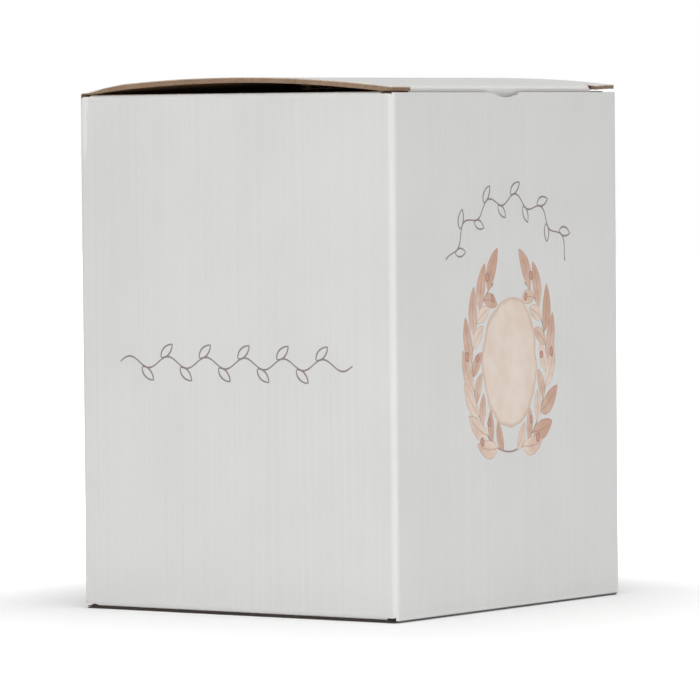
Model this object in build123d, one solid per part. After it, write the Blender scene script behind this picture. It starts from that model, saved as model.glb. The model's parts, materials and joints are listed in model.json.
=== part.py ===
from build123d import *
import math
import os

# A reverse tuck end carton of fine corrugated board, closed and standing on its base.
# Millimetres, +Z up, origin in the middle of the footprint at the surface that the carton stands on.
# The front panel faces -Y and the left panel faces -X. The lid is hinged at the back, the base at the front.

# The carton
carton_width = 94.0
carton_depth = 89.0
side_height = 120.0
crease_inside_radius = 0.2

# The board: a printed outer liner, a fluted medium and a plain inner liner
board = 1.2
liner = 0.2
medium = 0.15
flute_pitch = 2.45

# Clearances, and how far a cutting block runs past what it cuts
stacking_gap = 0.1
crease_gap_degrees = 4.0
wall_clearance = 0.5
tuck_clearance = 0.6
overrun = 5.0

# The thumb notch in the front panel's top edge
notch_width = 13.5
notch_depth = 1.2

# The lid, which bows up between its creases and has an ear beside each slit
lid_bow = 2.3
bow_runs = 5
lid_side_inset = 0.3
ear_length = 8.0
ear_setback = 0.6
slit_width = 0.8

# The tuck flaps
tuck_depth = 13.0
tuck_corner = 8.0
tuck_lean_degrees = 7.0
shoulder_drop = 0.9

# The dust flaps
dust_tip_gap = 11.2
dust_shoulder = 8.0
dust_step = 2.5
dust_corner = 4.0
dust_taper_degrees = 30.0
dust_hinge_setback = 3.0

# The base, whose side edges are crushed thin so that they slide past the side creases
base_side_inset = 0.8
ramp_degrees = 15.0
ramp_radius = 0.8
ramp_lag = 0.2

# The manufacturer's joint
tab_width = 13.0
tab_taper = 8.0
tab_clearance = 3.0
glue_film = 0.1
glue_width = 8.0

# What follows from them
half_width = carton_width / 2
half_depth = carton_depth / 2
crease_radius = board + crease_inside_radius
side_foot = 2 * liner + medium + stacking_gap
lid_top = side_height + stacking_gap + board
joint_inset = board + glue_film
dust_length = half_width - crease_radius - dust_tip_gap / 2
crease_gap = crease_radius * math.radians(crease_gap_degrees)
plies = {
    "outer_liner": (0, liner),
    "flutes": (liner, board - liner),
    "inner_liner": (board - liner, board),
}

# Directions in a section, in degrees from its first axis towards its second
quarter_turn = 90
half_turn = 2 * quarter_turn
upward = quarter_turn
leftward = half_turn
mitre = quarter_turn / 2
tiny_share = 1e-6


def direction(degrees):
    """The unit vector at an angle in a section."""
    return Vector(math.cos(math.radians(degrees)), math.sin(math.radians(degrees)))


class Fold:
    """A sheet of board seen along its creases: a chain of bends and straight runs of its outer face.

    The board lies on the left of the chain. Each bend is kept as its centre, its radius (negative where
    the board bends to the right) and the outward normal at its start and at its end. The section of any
    ply then follows from the depths of its two faces under the outer face.
    """

    def __init__(self, centre, radius, start, end):
        self.bends = [(Vector(centre), radius, start, end)]

    def tip(self, depth=0):
        """The end of the chain, at a depth under the outer face."""
        centre, radius, _, end = self.bends[-1]
        return centre + direction(end) * (radius - depth)

    def bend(self, radius, turn):
        """Adds a bend to the left, or to the right where the turn is negative."""
        start = self.bends[-1][3]
        signed_radius = math.copysign(radius, turn)
        centre = self.tip() - direction(start) * signed_radius
        self.bends.append((centre, signed_radius, start, start + turn))
        return self

    def straight(self, length):
        """Adds a straight run, up to a raw edge or to the next bend."""
        normal = self.bends[-1][3]
        end = self.tip() + direction(normal + quarter_turn) * length
        self.bends.append((end - direction(normal) * crease_radius, crease_radius, normal, normal))
        return self

    def face_edges(self, depth):
        """The lines and arcs that run along the sheet at a depth under its outer face."""
        edges = []
        last = None
        for centre, radius, start, end in self.bends:
            angles = (start, (start + end) / 2, end)
            points = [centre + direction(angle) * (radius - depth) for angle in angles]
            if last is not None and (points[0] - last).length > crease_radius * tiny_share:
                edges.append(Line(last, points[0]))
            if start != end:
                edges.append(ThreePointArc(*points))
            last = points[-1]
        return edges

    def section(self, depth_from, depth_to):
        """The closed section of the ply between two depths."""
        centre, radius, start, _ = self.bends[0]
        first_end = [centre + direction(start) * (radius - depth) for depth in (depth_from, depth_to)]
        last_end = [self.tip(depth_from), self.tip(depth_to)]
        ends = [Line(*first_end), Line(*last_end)]
        return make_face(self.face_edges(depth_from) + self.face_edges(depth_to) + ends)


def flute_wave(length, slack=0):
    """The section across a fluted medium: a zigzag band of as many whole flutes as the length holds.

    It is centred on the first axis. The outer face of the board is the first axis itself, and the band
    runs between the two liners under it, with any slack left at the inner one.
    """
    count = int(length / flute_pitch)
    valley = liner - board + slack
    crest = -liner - medium
    places = [(i - count) * flute_pitch / 2 for i in range(2 * count + 1)]
    under = [(place, crest if i % 2 else valley) for i, place in enumerate(places)]
    over = [(place, level + medium) for place, level in reversed(under)]
    return make_face(Polyline(*under, *over, close=True))


def across_sheet(face, normal):
    """The plane across a sheet at a point of its outer face: its first axis is X, its second the normal."""
    heading = direction(normal + quarter_turn)
    return Plane(origin=(0, face.X, face.Y), x_dir=(1, 0, 0), z_dir=(0, heading.X, heading.Y))


def box_between(x_range, y_range, z_range):
    """A box given by its lowest and highest place along each axis."""
    ranges = (x_range, y_range, z_range)
    size = [high - low for low, high in ranges]
    middle = [(high + low) / 2 for low, high in ranges]
    return Pos(*middle) * Box(*size)


def run_along_x(section, half_length):
    """A section in the YZ plane, drawn out to both sides."""
    return extrude(Plane.YZ * section, half_length, both=True)


def run_along_y(section, y_range):
    """A section in the XZ plane, drawn out between two places."""
    return extrude(Plane.XZ.offset(-y_range[0]) * section, y_range[0] - y_range[1])


def outline_from_above(*points, corner_points=(), corner=0):
    """A prism with an outline seen from above, for trimming a lying flap. Some corners may be rounded."""
    face = make_face(Polyline(*points, close=True))
    return extrude(rounded(face, corner_points, corner), 2 * lid_top, both=True)


def outline_from_front(*points, corner_points=(), corner=0):
    """A prism with an outline seen from the front, for trimming an upright flap."""
    face = make_face(Polyline(*points, close=True))
    return extrude(Plane.XZ * rounded(face, corner_points, corner), carton_depth, both=True)


def rounded(face, corner_points, corner):
    """The same face with the corners at the points named rounded off."""
    if not corner_points:
        return face
    chosen = [
        vertex
        for vertex in face.vertices()
        for x, y in corner_points
        if (Vector(vertex.X, vertex.Y) - Vector(x, y)).length < corner * tiny_share
    ]
    return fillet(chosen, corner)


def on_other_side(solid):
    """The same piece mirrored to the carton's other side."""
    return mirror(solid, about=Plane.YZ)


def at_base_end(solid):
    """A piece of the lid's end turned over to the base's end: hinged at the front, open at the back."""
    return Pos(0, 0, lid_top) * Rot(half_turn, 0, 0) * solid


# The walls
def shrunk(span, depth):
    """A span, less a depth at each end."""
    return (span[0] + depth, span[1] - depth)


def tube_block(depth, *ranges):
    """A block with rounded edges whose faces lie at a depth under the walls' outer faces."""
    block = box_between(*(shrunk(span, depth) for span in ranges))
    return fillet(block.edges(), crease_radius - depth)


def wall_wedge(length_range, height_range, mitred):
    """The room that one wall takes of the tube, which narrows inwards at the mitred edges.

    It is built facing +X with its outer side in the YZ plane. Mitred holds 1 for a mitred edge and 0 for
    a raw one: low end, high end, foot, head.
    """
    sides = []
    for inward in (0, 2 * crease_radius):
        low = length_range[0] + mitred[0] * inward
        high = length_range[1] - mitred[1] * inward
        foot = height_range[0] + mitred[2] * inward
        head = height_range[1] - mitred[3] * inward
        corners = [(-inward, low, foot), (-inward, high, foot), (-inward, high, head), (-inward, low, head)]
        sides.append(make_face(Polyline(*corners, close=True)))
    return loft(sides)


def upright_flutes(middle, outward, span, z_range):
    """A fluted medium whose flutes stand upright, behind an outer face through the middle point."""
    across = Vector(*outward).cross(Vector(0, 0, 1))
    plane = Plane(origin=(*middle, z_range[0]), x_dir=across, z_dir=(0, 0, 1))
    return extrude(plane * flute_wave(span), z_range[1] - z_range[0])


def side_wall(y_range):
    """The three plies of the right wall, creased at its foot and its head."""
    z_range = (side_foot, side_height)
    x_range = (-half_width, half_width)
    wedge = Pos(half_width, 0, 0) * wall_wedge(y_range, shrunk(z_range, crease_gap), (1, 1, 1, 1))
    wall = {}
    for ply in ("outer_liner", "inner_liner"):
        outside, inside = (tube_block(depth, x_range, y_range, z_range) for depth in plies[ply])
        wall[ply] = (outside - inside) & wedge
    middle = (half_width, (y_range[0] + y_range[1]) / 2)
    flat_length = y_range[1] - y_range[0] - 2 * crease_radius
    wall["flutes"] = upright_flutes(middle, (1, 0), flat_length, shrunk(z_range, crease_radius))
    return wall


def thumb_notch(edge):
    """The shallow round cut in the middle of a top edge."""
    radius = (notch_width**2 / 4 + notch_depth**2) / (2 * notch_depth)
    return extrude(Plane.XZ * Pos(0, edge + radius - notch_depth) * Circle(radius), carton_depth, both=True)


def front_wall(edge):
    """The three plies of the front panel: the base's crease at its foot, a raw notched edge at its head."""
    x_range = (-half_width, half_width)
    y_range = (-half_depth, half_depth)
    z_range = (0, lid_top + overrun)
    wedge = wall_wedge(x_range, (crease_gap, edge), (1, 1, 1, 0))
    wedge = Pos(0, -half_depth, 0) * Rot(0, 0, -quarter_turn) * wedge
    wall = {}
    for ply in ("outer_liner", "inner_liner"):
        outside, inside = (tube_block(depth, x_range, y_range, z_range) for depth in plies[ply])
        wall[ply] = ((outside - inside) & wedge) - thumb_notch(edge)
    flat_length = carton_width - 2 * crease_radius
    flutes = upright_flutes((0, -half_depth), (0, -1), flat_length, (crease_radius, edge))
    wall["flutes"] = flutes - thumb_notch(edge)
    return wall


def back_wall(edge):
    """The three plies of the back panel: a raw edge at its foot, the lid's crease at its head.

    Its right edge is raw and lies over the glue tab.
    """
    x_range = (-half_width, half_width + overrun)
    y_range = (-half_depth, half_depth)
    z_range = (-overrun, lid_top)
    wedge = wall_wedge((-half_width, half_width), (edge, lid_top - crease_gap), (0, 1, 0, 1))
    wedge = Pos(0, half_depth, 0) * Rot(0, 0, quarter_turn) * wedge
    wall = {}
    for ply in ("outer_liner", "inner_liner"):
        outside, inside = (tube_block(depth, x_range, y_range, z_range) for depth in plies[ply])
        wall[ply] = (outside - inside) & wedge
    flat_length = carton_width - crease_radius
    middle = (crease_radius / 2, half_depth)
    wall["flutes"] = upright_flutes(middle, (0, 1), flat_length, (edge, lid_top - crease_radius))
    return wall


def glue_tab():
    """The three plies of the tab that folds from the right wall behind the back panel, and the glue."""
    face_y = half_depth - joint_inset
    root_x = half_width - crease_radius
    foot = crease_radius + tuck_depth + tab_clearance
    head = side_height - crease_radius - tab_clearance
    outline = outline_from_front(
        (half_width + overrun, foot),
        (root_x, foot),
        (root_x - tab_width, foot + tab_taper),
        (root_x - tab_width, head - tab_taper),
        (root_x, head),
        (half_width + overrun, head),
    )
    fold = Fold((root_x, face_y - crease_radius), crease_radius, mitre, upward).straight(tab_width)
    tab = {}
    for ply in ("outer_liner", "inner_liner"):
        tab[ply] = extrude(fold.section(*plies[ply]), lid_top) & outline
    middle = (root_x - tab_width / 2, face_y)
    tab["flutes"] = upright_flutes(middle, (0, 1), tab_width, (foot, head)) & outline
    glue_x = (middle[0] - glue_width / 2, middle[0] + glue_width / 2)
    glue_z = (foot + tab_taper, head - tab_taper)
    return tab, box_between(glue_x, (face_y, face_y + glue_film), glue_z)


# The lid's end: a crease roll at the hinge, the panel, and a roll down into the tuck flap
hinge_centre = (half_depth - crease_radius, lid_top - crease_radius)
front_roll_y = -half_depth + board + tuck_clearance + crease_radius
panel_chord = hinge_centre[0] - front_roll_y
slit_half_width = half_width - lid_side_inset - ear_length
tuck_half_width = half_width - board - wall_clearance


def bow_arc(bow):
    """The radius and the half angle of a panel's outer face that rises by its bow over the chord."""
    centre_radius = (panel_chord**2 / 4 + bow**2) / (2 * bow)
    half_angle = math.degrees(math.asin(panel_chord / 2 / centre_radius))
    return centre_radius + crease_radius, half_angle


def panel_fold(bow):
    """The panel from its hinge crease to where its front roll starts."""
    start = mitre + crease_gap_degrees
    if not bow:
        return Fold(hinge_centre, crease_radius, start, upward).straight(panel_chord)
    radius, half_angle = bow_arc(bow)
    fold = Fold(hinge_centre, crease_radius, start, upward - half_angle)
    return fold.bend(radius, 2 * half_angle)


def tuck_crease(bow):
    """The centre of the front roll, and the normals where it starts, is shared and ends."""
    fold = panel_fold(bow)
    start = fold.bends[-1][3]
    end = leftward + tuck_lean_degrees
    return fold.tip(crease_radius), start, (start + end) / 2, end


def ear_fold(bow):
    """The panel from its hinge crease to the raw edge of its ears."""
    fold = panel_fold(bow)
    normal = fold.bends[-1][3]
    reach = fold.tip().X + half_depth - ear_setback
    return fold.straight(reach / math.sin(math.radians(normal)))


def mating_edge(bow):
    """How high the wall under the ears may reach."""
    return ear_fold(bow).tip(board).Y - stacking_gap


def slit_room():
    """The room in front of the panel and between its ears."""
    x_range = (-slit_half_width, slit_half_width)
    return box_between(x_range, (-carton_depth, front_roll_y), (lid_top - overrun, lid_top + overrun))


def panel_ply(bow, half_length, ply):
    """A liner of a lid or base panel: the sheet with its ears, and the roll into the tuck flap."""
    _, start, shared, _ = tuck_crease(bow)
    sheet = run_along_x(ear_fold(bow).section(*plies[ply]), half_length) - slit_room()
    rolled = panel_fold(bow).bend(crease_radius, shared - start - crease_gap_degrees)
    return sheet + run_along_x(rolled.section(*plies[ply]), slit_half_width - slit_width)


def panel_flutes(bow, half_length):
    """The fluted medium of a panel, whose flutes run from the hinge to the front.

    They follow a bow in straight runs, and are flatter by the rise of one run to stay between the liners.
    """
    centre, radius, start, end = panel_fold(bow).bends[-1]
    if not bow:
        wave = across_sheet(centre + direction(start) * radius, start) * flute_wave(2 * half_length)
        return extrude(wave, -panel_chord)
    run_turn = (end - start) / bow_runs
    run_rise = radius * (1 - math.cos(math.radians(run_turn / 2)))
    wave = flute_wave(2 * half_length, run_rise)
    normals = [start + run_turn * i for i in range(bow_runs + 1)]
    places = [across_sheet(centre + direction(normal) * radius, normal) for normal in normals]
    return loft([place * wave for place in places], ruled=True)


def tuck_outline():
    """The outline of a tuck flap from the front: free shoulders beside its crease and rounded corners."""
    shoulder = side_height - shoulder_drop
    root = slit_half_width - slit_width
    foot = hinge_centre[1] - tuck_depth * math.cos(math.radians(tuck_lean_degrees))
    head = lid_top + overrun
    low = foot - overrun
    corners = ((tuck_half_width, foot), (-tuck_half_width, foot))
    return outline_from_front(
        (tuck_half_width, foot),
        (tuck_half_width, shoulder),
        (root, shoulder),
        (root, head),
        (-root, head),
        (-root, shoulder),
        (-tuck_half_width, shoulder),
        (-tuck_half_width, foot),
        corner_points=corners,
        corner=tuck_corner,
    )


def tuck_flap(bow):
    """The three plies of a tuck flap, which leans inwards from the panel's front roll."""
    centre, _, shared, end = tuck_crease(bow)
    fold = Fold(centre, crease_radius, shared + crease_gap_degrees, end)
    wave = across_sheet(fold.tip(), end) * flute_wave(2 * tuck_half_width)
    flap = {"flutes": extrude(wave, tuck_depth) & tuck_outline()}
    fold.straight(tuck_depth)
    for ply in ("outer_liner", "inner_liner"):
        flap[ply] = run_along_x(fold.section(*plies[ply]), half_width) & tuck_outline()
    return flap


def dust_outline():
    """The outline of a right dust flap from above.

    Its front edge has a shoulder that stands behind the slit of the lid, and its back edge is tapered so
    that the flap can rise under the opening lid.
    """
    root = half_width - crease_radius
    tip = root - dust_length
    front = -half_depth + 2 * board + tuck_clearance + wall_clearance
    back = half_depth - dust_hinge_setback
    back_tip = back - dust_length * math.tan(math.radians(dust_taper_degrees))
    tip_corners = ((tip, front + dust_step), (tip, back_tip))
    return outline_from_above(
        (half_width + overrun, front),
        (root - dust_shoulder, front),
        (root - dust_shoulder - dust_step, front + dust_step),
        *tip_corners,
        (root, back),
        (half_width + overrun, back),
        corner_points=tip_corners,
        corner=dust_corner,
    )


def dust_flap(crease_head):
    """The three plies of a right dust flap under the lid.

    Where its crease stands higher than the flap lies, a short ramp leads down from the one to the other.
    """
    centre = (half_width - crease_radius, crease_head - crease_radius)
    start = mitre + crease_gap_degrees
    drop = crease_head - side_height
    tip_x = half_width - crease_radius - dust_length
    if drop:
        fold = Fold(centre, crease_radius, start, upward + ramp_degrees)
        bend_drop = (crease_radius + ramp_radius) * (1 - math.cos(math.radians(ramp_degrees)))
        fold.straight((drop - bend_drop) / math.sin(math.radians(ramp_degrees)))
        fold.bend(ramp_radius, -ramp_degrees)
    else:
        fold = Fold(centre, crease_radius, start, upward)
    flat_start = fold.tip().X
    fold.straight(flat_start - tip_x)
    flap = {}
    for ply in ("outer_liner", "inner_liner"):
        flap[ply] = run_along_y(fold.section(*plies[ply]), (-half_depth, half_depth)) & dust_outline()
    plane = Plane(origin=(flat_start, 0, side_height), x_dir=(0, -1, 0), z_dir=(-1, 0, 0))
    flutes = extrude(plane * flute_wave(carton_depth), flat_start - tip_x)
    flap["flutes"] = flutes & dust_outline()
    return flap


# The base's own form: its side edges are crushed, and its inner liner runs down to them over a ramp
base_half_width = half_width - base_side_inset
ramp_bends = ramp_radius * (1 - math.cos(math.radians(ramp_degrees)))
ramp_drop = board - 2 * liner - medium
ramp_length = (ramp_drop - 2 * ramp_bends) / math.sin(math.radians(ramp_degrees))
ramp_start = half_width - crease_radius * (1 + math.sin(math.radians(ramp_degrees))) - ramp_lag
ramp_reach = 2 * ramp_radius * math.sin(math.radians(ramp_degrees))
ramp_reach = ramp_reach + ramp_length * math.cos(math.radians(ramp_degrees))
base_flat_half_width = ramp_start - ramp_reach


def crushed_inner_liner():
    """The inner liner of the base, built at the lid's end: flat, and ramped to its crushed side edges."""
    hem_level = lid_top - liner - medium
    hem = base_half_width - ramp_start
    fold = Fold((base_half_width, hem_level - crease_radius), crease_radius, upward, upward).straight(hem)
    fold.bend(ramp_radius, ramp_degrees).straight(ramp_length).bend(ramp_radius, -ramp_degrees)
    fold.straight(2 * base_flat_half_width)
    fold.bend(ramp_radius, -ramp_degrees).straight(ramp_length).bend(ramp_radius, ramp_degrees)
    fold.straight(hem)
    sheet = run_along_y(fold.section(0, liner), (-half_depth + ear_setback, hinge_centre[0])) - slit_room()
    depths = plies["inner_liner"]
    hinge_roll = Fold(hinge_centre, crease_radius, mitre + crease_gap_degrees, upward)
    centre, start, shared, _ = tuck_crease(0)
    front_roll = Fold(centre, crease_radius, start, shared - crease_gap_degrees)
    sheet = sheet + run_along_x(hinge_roll.section(*depths), base_flat_half_width)
    return sheet + run_along_x(front_roll.section(*depths), slit_half_width - slit_width)


def carton():
    """Every node of the carton, by name."""
    panels = {}
    panels["front_panel"] = front_wall(mating_edge(lid_bow))
    panels["back_panel"] = back_wall(lid_top - mating_edge(0))
    panels["right_panel"] = side_wall((-half_depth, half_depth - joint_inset))
    left = side_wall((-half_depth, half_depth))
    panels["left_panel"] = {ply: on_other_side(solid) for ply, solid in left.items()}
    panels["glue_tab"], glue = glue_tab()

    lid_half_width = half_width - lid_side_inset
    lid = {ply: panel_ply(lid_bow, lid_half_width, ply) for ply in ("outer_liner", "inner_liner")}
    lid["flutes"] = panel_flutes(lid_bow, lid_half_width)
    panels["lid_panel"] = lid
    panels["lid_tuck"] = tuck_flap(lid_bow)

    base = {
        "outer_liner": panel_ply(0, base_half_width, "outer_liner"),
        "flutes": panel_flutes(0, base_flat_half_width),
        "inner_liner": crushed_inner_liner(),
    }
    panels["base_panel"] = {ply: at_base_end(solid) for ply, solid in base.items()}
    panels["base_tuck"] = {ply: at_base_end(solid) for ply, solid in tuck_flap(0).items()}

    top = dust_flap(side_height)
    bottom = {ply: at_base_end(solid) for ply, solid in dust_flap(lid_top - side_foot).items()}
    for end, flap in (("top", top), ("bottom", bottom)):
        panels[end + "_right_dust_flap"] = flap
        panels[end + "_left_dust_flap"] = {ply: on_other_side(solid) for ply, solid in flap.items()}

    nodes = {panel + "_" + ply: solid for panel, parts in panels.items() for ply, solid in parts.items()}
    nodes["glue_line"] = glue
    return nodes


os.makedirs("parts", exist_ok=True)
for name, solid in carton().items():
    export_step(solid, "parts/" + name + ".step")
    print(name, round(solid.volume), "cubic mm")
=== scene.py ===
# %% [markdown]
# # A tuck end carton of fine corrugated board
# The imported model holds every panel of the carton as three sheets of paper: a printed outer liner, a fluted
# medium and a brown inner liner. This lesson dresses them. It rounds the flutes, lets the liners sag a little
# between the flutes, bridges the creases with paper, and paints everything with procedural finishes. First
# the model is loaded.

import bmesh
import bpy
import json
import math
from mathutils import Matrix, Vector

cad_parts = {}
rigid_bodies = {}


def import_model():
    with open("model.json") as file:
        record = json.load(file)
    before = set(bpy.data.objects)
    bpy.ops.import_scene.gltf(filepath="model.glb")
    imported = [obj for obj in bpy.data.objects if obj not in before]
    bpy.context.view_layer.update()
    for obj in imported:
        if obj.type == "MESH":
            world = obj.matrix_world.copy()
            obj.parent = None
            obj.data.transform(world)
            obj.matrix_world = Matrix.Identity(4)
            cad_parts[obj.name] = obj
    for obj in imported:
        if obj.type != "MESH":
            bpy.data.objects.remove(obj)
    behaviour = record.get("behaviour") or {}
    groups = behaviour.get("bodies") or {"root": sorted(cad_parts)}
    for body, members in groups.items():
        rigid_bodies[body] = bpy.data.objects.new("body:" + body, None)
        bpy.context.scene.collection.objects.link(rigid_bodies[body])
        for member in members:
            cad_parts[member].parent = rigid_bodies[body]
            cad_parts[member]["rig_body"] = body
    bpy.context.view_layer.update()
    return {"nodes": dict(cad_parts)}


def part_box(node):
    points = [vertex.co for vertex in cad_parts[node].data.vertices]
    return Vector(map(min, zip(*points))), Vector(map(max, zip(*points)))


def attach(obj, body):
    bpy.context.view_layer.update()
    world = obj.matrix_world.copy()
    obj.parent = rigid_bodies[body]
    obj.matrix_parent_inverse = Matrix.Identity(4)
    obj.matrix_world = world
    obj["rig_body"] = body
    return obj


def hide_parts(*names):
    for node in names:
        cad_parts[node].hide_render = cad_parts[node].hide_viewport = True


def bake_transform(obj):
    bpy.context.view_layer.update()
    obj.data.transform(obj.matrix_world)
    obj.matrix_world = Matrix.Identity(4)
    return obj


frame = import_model()

# %% [markdown]
# The model is in metres, and board is measured in tenths of a millimetre. So the sizes of the board are
# written as millimetres times one unit. They are the sizes that the panels were built from.

# %% Sizes of the board and the carton
MM = 0.001
CARTON_WIDTH = 94 * MM
CARTON_DEPTH = 89 * MM
SIDE_HEIGHT = 120 * MM
LID_TOP = 121.3 * MM
SIDE_FOOT = 0.65 * MM
CREASE_RADIUS = 1.4 * MM
BOARD = 1.2 * MM
LINER = 0.2 * MM
MEDIUM = 0.15 * MM
FLUTE_PITCH = 2.45 * MM
LID_BOW = 2.3 * MM
FRONT_ROLL_Y = -41.3 * MM
TUCK_LEAN = math.radians(7)
print("half the footprint is", CARTON_WIDTH / 2, "by", CARTON_DEPTH / 2)

# %% [markdown]
# Each panel faces its own way, and its flutes are spaced along one axis. With these two directions a single
# helper can treat all thirteen panels alike, instead of thirteen helpers with their own formulas.

# %% The way each panel faces
X_AXIS = Vector((1, 0, 0))
Y_AXIS = Vector((0, 1, 0))
UP = Vector((0, 0, 1))
lean = Vector((0, -math.cos(TUCK_LEAN), -math.sin(TUCK_LEAN)))
PANELS = {
    "front_panel": (-Y_AXIS, X_AXIS),
    "back_panel": (Y_AXIS, X_AXIS),
    "left_panel": (-X_AXIS, Y_AXIS),
    "right_panel": (X_AXIS, Y_AXIS),
    "glue_tab": (Y_AXIS, X_AXIS),
    "lid_panel": (UP, X_AXIS),
    "lid_tuck": (lean, X_AXIS),
    "base_panel": (-UP, X_AXIS),
    "base_tuck": (-lean, X_AXIS),
    "top_left_dust_flap": (UP, Y_AXIS),
    "top_right_dust_flap": (UP, Y_AXIS),
    "bottom_left_dust_flap": (-UP, Y_AXIS),
    "bottom_right_dust_flap": (-UP, Y_AXIS),
}
print(len(PANELS), "panels")


# %% [markdown]
# ## Writing shader maths as sums
# A procedural finish is mostly arithmetic on coordinates. Linking Math nodes by hand hides that arithmetic,
# so a small class wraps a node's output and turns each Python operator into its Math node. A finish then
# reads like the formula that it is.

# %% A socket that can be added and multiplied
class Wire:
    """The output of a node. Sums with other wires and with numbers add Math nodes."""

    def __init__(self, finish, out):
        self.finish = finish
        self.out = out

    def maths(self, operation, *values):
        return self.finish.add("ShaderNodeMath", {"operation": operation}, dict(enumerate(values)))

    def __add__(self, other):
        return self.maths("ADD", self, other)

    def __radd__(self, other):
        return self.maths("ADD", other, self)

    def __sub__(self, other):
        return self.maths("SUBTRACT", self, other)

    def __rsub__(self, other):
        return self.maths("SUBTRACT", other, self)

    def __mul__(self, other):
        return self.maths("MULTIPLY", self, other)

    def __rmul__(self, other):
        return self.maths("MULTIPLY", other, self)

    def __truediv__(self, other):
        return self.maths("DIVIDE", self, other)

    def __pow__(self, other):
        return self.maths("POWER", self, other)

    def __abs__(self):
        return self.maths("ABSOLUTE", self)

    def function(self, operation, *values):
        """A Math node of one input, such as SINE, or of more."""
        return self.maths(operation, self, *values)

    def rise(self, low, high):
        """0 below low, 1 above high, and smooth between them. It falls where low is the larger."""
        settings = {"interpolation_type": "SMOOTHSTEP"}
        inputs = {"Value": self, "From Min": low, "From Max": high}
        return self.finish.add("ShaderNodeMapRange", settings, inputs)


# %% [markdown]
# One more class holds a material's node tree. Its add method makes any node: the settings come first, because
# some of them change which sockets a node has, then the values and links of its sockets. A Mix node has
# sockets of every kind under the same few names, so those of the colour kind are found by number.

# %% A material that is built by adding nodes
MIX_FACTOR, MIX_FIRST, MIX_SECOND, MIX_RESULT = 0, 6, 7, 2
BUMP_STRENGTH = 0.5


class Finish:
    """A material with one Principled BSDF, whose constants are set on the shader's own sockets."""

    def __init__(self, name, **constants):
        self.material = bpy.data.materials.new(name)
        self.material.use_nodes = True
        self.tree = self.material.node_tree
        self.shader = self.tree.nodes["Principled BSDF"]
        self.set_inputs(self.shader, {key.replace("_", " "): value for key, value in constants.items()})
        self.places = {}

    def set_inputs(self, node, inputs):
        for key, value in inputs.items():
            if isinstance(value, Wire):
                self.tree.links.new(value.out, node.inputs[key])
            else:
                node.inputs[key].default_value = value

    def add(self, kind, settings=(), inputs=(), out=0):
        node = self.tree.nodes.new(kind)
        for key, value in dict(settings).items():
            setattr(node, key, value)
        self.set_inputs(node, dict(inputs))
        return Wire(self, node.outputs[out])

    def millimetres(self):
        """The place on the carton in millimetres, as a vector and as its three parts."""
        if not self.places:
            here = self.add("ShaderNodeTexCoord", out="Object")
            inputs = {0: here, "Scale": 1 / MM}
            here = self.add("ShaderNodeVectorMath", {"operation": "SCALE"}, inputs, "Vector")
            parts = [self.add("ShaderNodeSeparateXYZ", {}, {0: here}, axis) for axis in "XYZ"]
            self.places = {"here": here, "parts": parts}
        return self.places["here"], *self.places["parts"]

    def stretched(self, factors):
        """The place in millimetres, with each axis multiplied by its factor."""
        here = self.millimetres()[0]
        return self.add("ShaderNodeVectorMath", {"operation": "MULTIPLY"}, {0: here, 1: factors}, "Vector")

    def noise(self, scale, detail=2.0, factors=(1, 1, 1)):
        """Noise from about 0 to 1, with so many grains to a millimetre."""
        inputs = {"Vector": self.stretched(factors), "Scale": scale, "Detail": detail}
        return self.add("ShaderNodeTexNoise", {}, inputs, "Fac")

    def mix(self, factor, first, second):
        """A colour between two colours."""
        inputs = {MIX_FACTOR: factor, MIX_FIRST: first, MIX_SECOND: second}
        return self.add("ShaderNodeMix", {"data_type": "RGBA"}, inputs, MIX_RESULT)

    def finish(self, colour=None, roughness=None, height=None):
        """Links what changes over the surface. Height is in millimetres."""
        if colour:
            self.tree.links.new(colour.out, self.shader.inputs["Base Color"])
        if roughness:
            self.tree.links.new(roughness.out, self.shader.inputs["Roughness"])
        if height:
            inputs = {"Strength": BUMP_STRENGTH, "Distance": MM, "Height": height}
            normal = self.add("ShaderNodeBump", {}, inputs, "Normal")
            self.tree.links.new(normal.out, self.shader.inputs["Normal"])
        print("finish", self.material.name, "has", len(self.tree.nodes), "nodes")
        return self.material


def srgb(red, green, blue):
    """A colour as a picture editor shows it, from 0 to 255, as the linear colour that a shader takes."""
    linear = [(((value / 255) + 0.055) / 1.055) ** 2.4 for value in (red, green, blue)]
    return (*linear, 1)


# %% [markdown]
# ## Where the paper is worn, and where light and shade are painted
# A used carton is rubbed pale where it is folded. Such wear could be painted by hand on a texture. Here it is
# a mask that is worked out from the place on the carton, because a formula follows the carton's sizes and
# stays sharp up close. A place is on a folded edge where it is near the ends of two axes at once. The masks
# count in plain millimetres.

# %% The folds
HALF_WIDTH_MM = CARTON_WIDTH / 2 / MM
HALF_DEPTH_MM = CARTON_DEPTH / 2 / MM
HALF_HEIGHT_MM = LID_TOP / 2 / MM
ROLL_MM = CREASE_RADIUS / MM
FOLD_START = 1.15
FOLD_FULL = 0.5


def at_fold(place, half):
    """0 on the flat of a face and 1 at its fold, for a place that is counted from the carton's middle."""
    return abs(place).rise(half - FOLD_START * ROLL_MM, half - FOLD_FULL * ROLL_MM)


def near_crease(finish):
    """1 on the folded edges of the carton, and 0 on its flat faces."""
    _, x, y, z = finish.millimetres()
    side = at_fold(x, HALF_WIDTH_MM)
    face = at_fold(y, HALF_DEPTH_MM)
    end = at_fold(z - HALF_HEIGHT_MM, HALF_HEIGHT_MM)
    return (side * face).function("MAXIMUM", side * end).function("MAXIMUM", face * end)


print("a fold is rubbed for", round(FOLD_START * ROLL_MM, 2), "mm")
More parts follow.
